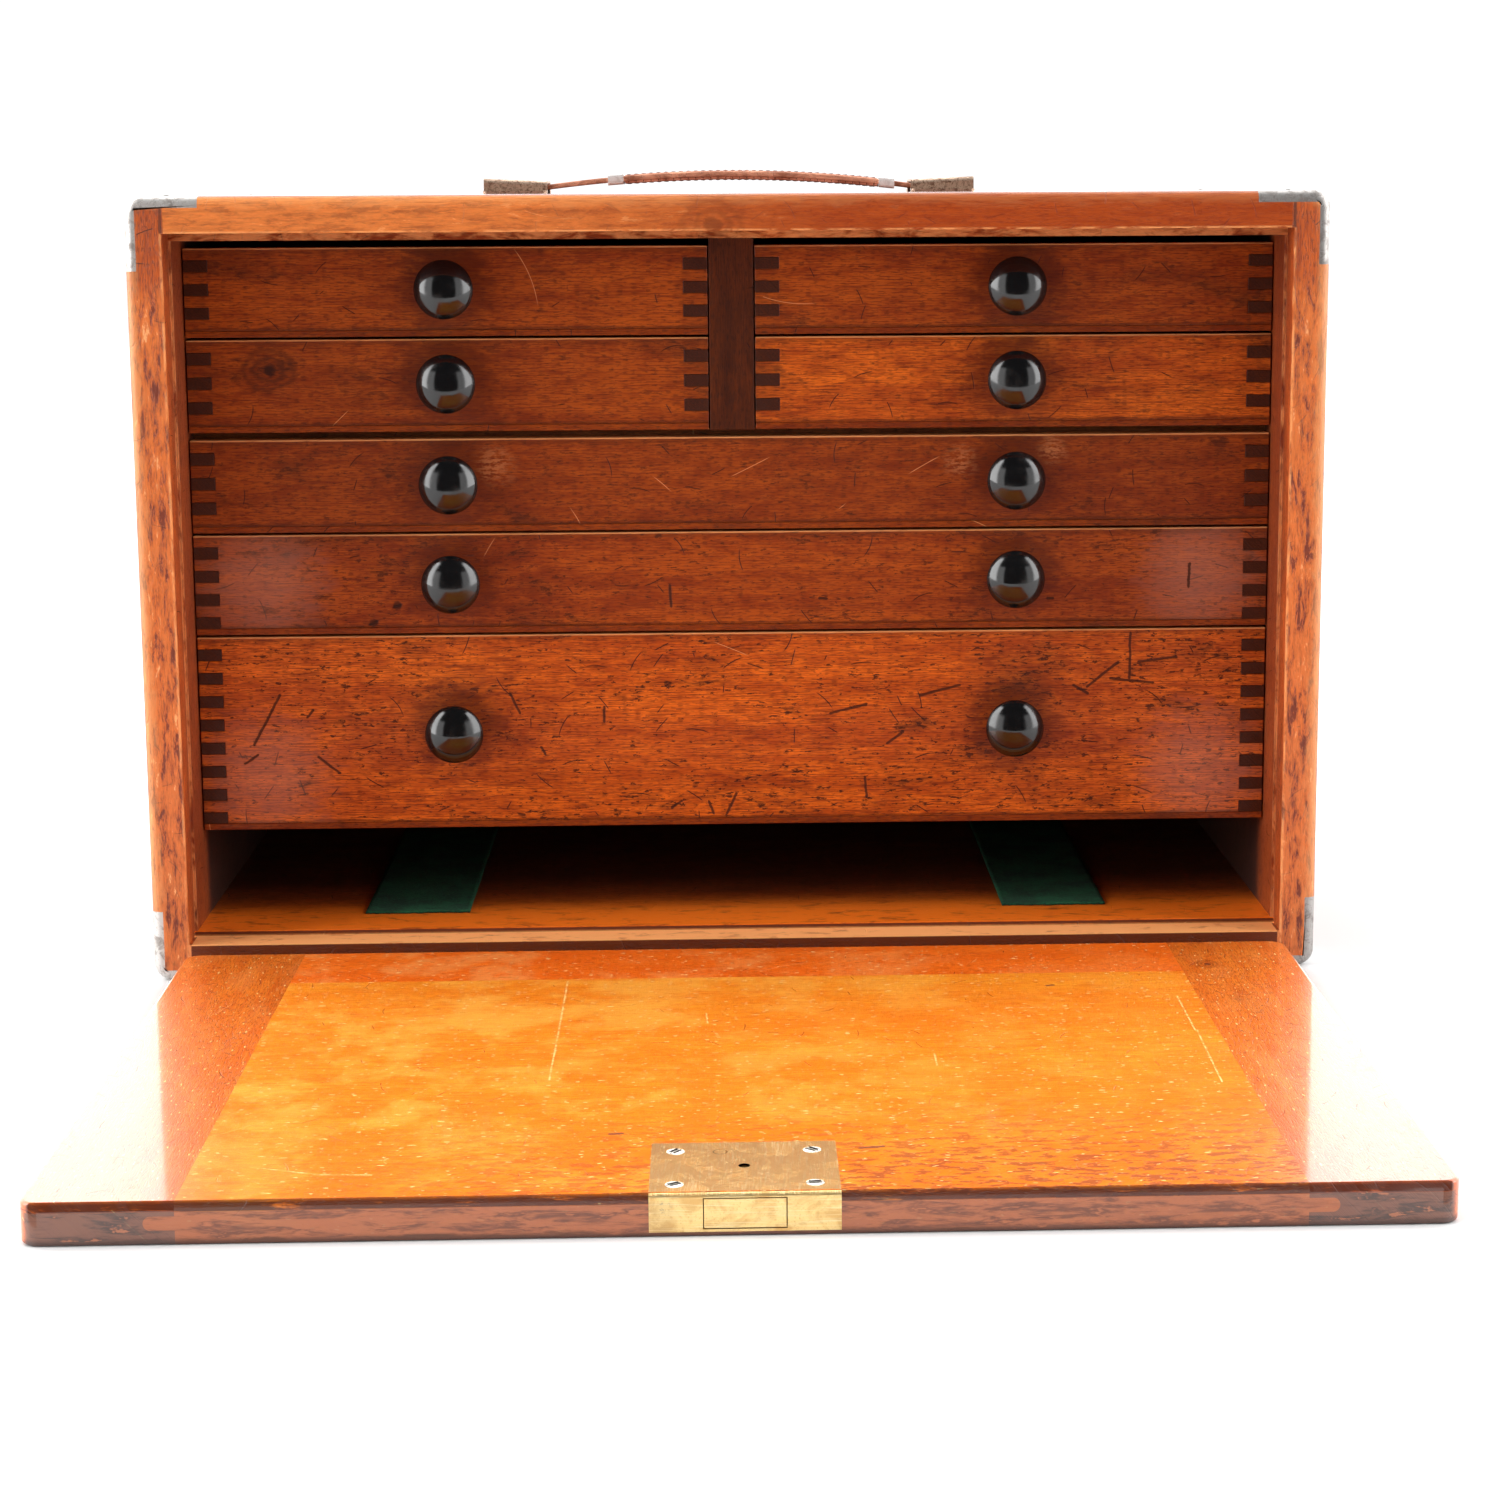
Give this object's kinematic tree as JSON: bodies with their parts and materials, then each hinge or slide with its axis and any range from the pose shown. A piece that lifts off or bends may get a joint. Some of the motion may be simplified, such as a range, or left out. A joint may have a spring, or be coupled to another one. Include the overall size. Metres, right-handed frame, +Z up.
{
  "type": "engineers toolbox",
  "caption": "Wooden engineers toolbox with comb-jointed drawers, a drop front panel with a brass lock, steel corner brackets and a sliding leather strap handle.",
  "frame": {"origin": "centre of the case's underside, on the surface that it stands on", "axes": "+X to the right seen from the front, +Y towards the back, +Z up; the front faces -Y"},
  "size_m": [0.4576, 0.5136, 0.3127],
  "materials": {
    "case_wood": "worn varnish over red-brown hardwood",
    "drawer_wood": "varnished red-brown hardwood with pores and dents",
    "divider_wood": "dark stained hardwood",
    "inner_wood": "bare and stained hardwood",
    "panel_board_wood": "glossy golden hardwood",
    "panel_frame_wood": "glossy brown hardwood",
    "baize": "dark green wool baize",
    "bracket_steel": "dull nickelled steel",
    "nail_steel": "dull steel",
    "knob_black": "glossy black moulding",
    "handle_leather": "pinkish brown stitched leather",
    "handle_steel": "pitted plated steel",
    "keeper_steel": "bright plated steel",
    "lock_brass": "scratched brass",
    "screw_steel": "bright slotted steel screws"
  },
  "bodies": {
    "root": {"case_top": "case_wood", "case_bottom": "case_wood", "case_side_left": "case_wood", "case_side_right": "case_wood", "case_back": "inner_wood", "drawer_shelf": "inner_wood", "centre_divider": "divider_wood", "drawer_runners": "inner_wood", "baize_strips": "baize", "corner_brackets": "bracket_steel", "bracket_nails": "nail_steel", "handle_housings": "handle_steel", "strike_plate": "lock_brass"},
    "panel": {"panel_board": "panel_board_wood", "panel_foot_rail": "panel_frame_wood", "panel_end_battens": "panel_frame_wood", "lock_case": "lock_brass", "lock_screws": "screw_steel", "keyhole_escutcheon": "lock_brass"},
    "lock_bolt": {"lock_bolt": "lock_brass"},
    "handle_strap": {"handle_strap": "handle_leather", "handle_grip": "handle_leather", "handle_keepers": "keeper_steel"},
    "handle_end_left": {"handle_end_left": "handle_steel"},
    "handle_end_right": {"handle_end_right": "handle_steel"},
    "drawer_1_left": {"drawer_1_left_front": "drawer_wood", "drawer_1_left_sides": "drawer_wood", "drawer_1_left_back": "drawer_wood", "drawer_1_left_bottom": "inner_wood", "drawer_1_left_knobs": "knob_black"},
    "drawer_1_right": {"drawer_1_right_front": "drawer_wood", "drawer_1_right_sides": "drawer_wood", "drawer_1_right_back": "drawer_wood", "drawer_1_right_bottom": "inner_wood", "drawer_1_right_knobs": "knob_black"},
    "drawer_2_left": {"drawer_2_left_front": "drawer_wood", "drawer_2_left_sides": "drawer_wood", "drawer_2_left_back": "drawer_wood", "drawer_2_left_bottom": "inner_wood", "drawer_2_left_knobs": "knob_black"},
    "drawer_2_right": {"drawer_2_right_front": "drawer_wood", "drawer_2_right_sides": "drawer_wood", "drawer_2_right_back": "drawer_wood", "drawer_2_right_bottom": "inner_wood", "drawer_2_right_knobs": "knob_black"},
    "drawer_3": {"drawer_3_front": "drawer_wood", "drawer_3_sides": "drawer_wood", "drawer_3_back": "drawer_wood", "drawer_3_bottom": "inner_wood", "drawer_3_knobs": "knob_black"},
    "drawer_4": {"drawer_4_front": "drawer_wood", "drawer_4_sides": "drawer_wood", "drawer_4_back": "drawer_wood", "drawer_4_bottom": "inner_wood", "drawer_4_knobs": "knob_black"},
    "drawer_5": {"drawer_5_front": "drawer_wood", "drawer_5_sides": "drawer_wood", "drawer_5_back": "drawer_wood", "drawer_5_bottom": "inner_wood", "drawer_5_knobs": "knob_black"}
  },
  "joints": [
    {"name": "panel_fall", "type": "hinge", "parent": "root", "child": "panel", "pos_m": [0, -0.1123, 0.002], "axis": [1, 0, 0], "range_deg": [-90, 0]},
    {"name": "lock_throw", "type": "slide", "parent": "panel", "child": "lock_bolt", "axis": [0, -1, 0], "range_m": [0, 0.0065]},
    {"name": "handle_lift", "type": "slide", "parent": "root", "child": "handle_strap", "axis": [0, 0, 1], "range_m": [0, 0.03], "deforming": ["handle_strap"]},
    {"name": "handle_left_end_slide", "type": "slide", "parent": "handle_strap", "child": "handle_end_left", "axis": [0.2873, 0, -0.9578], "range_m": [0, 0.03133]},
    {"name": "handle_right_end_slide", "type": "slide", "parent": "handle_strap", "child": "handle_end_right", "axis": [-0.2873, 0, -0.9578], "range_m": [0, 0.03133]},
    {"name": "drawer_1_left_slide", "type": "slide", "parent": "root", "child": "drawer_1_left", "axis": [0, -1, 0], "range_m": [0, 0.14]},
    {"name": "drawer_1_right_slide", "type": "slide", "parent": "root", "child": "drawer_1_right", "axis": [0, -1, 0], "range_m": [0, 0.14]},
    {"name": "drawer_2_left_slide", "type": "slide", "parent": "root", "child": "drawer_2_left", "axis": [0, -1, 0], "range_m": [0, 0.14]},
    {"name": "drawer_2_right_slide", "type": "slide", "parent": "root", "child": "drawer_2_right", "axis": [0, -1, 0], "range_m": [0, 0.14]},
    {"name": "drawer_3_slide", "type": "slide", "parent": "root", "child": "drawer_3", "axis": [0, -1, 0], "range_m": [0, 0.14]},
    {"name": "drawer_4_slide", "type": "slide", "parent": "root", "child": "drawer_4", "axis": [0, -1, 0], "range_m": [0, 0.14]},
    {"name": "drawer_5_slide", "type": "slide", "parent": "root", "child": "drawer_5", "axis": [0, -1, 0], "range_m": [0, 0.14]}
  ],
  "couplings": [
    {"joint": "handle_left_end_slide", "follows": "handle_lift", "ratio": 1.044},
    {"joint": "handle_right_end_slide", "follows": "handle_lift", "ratio": 1.044}
  ]
}
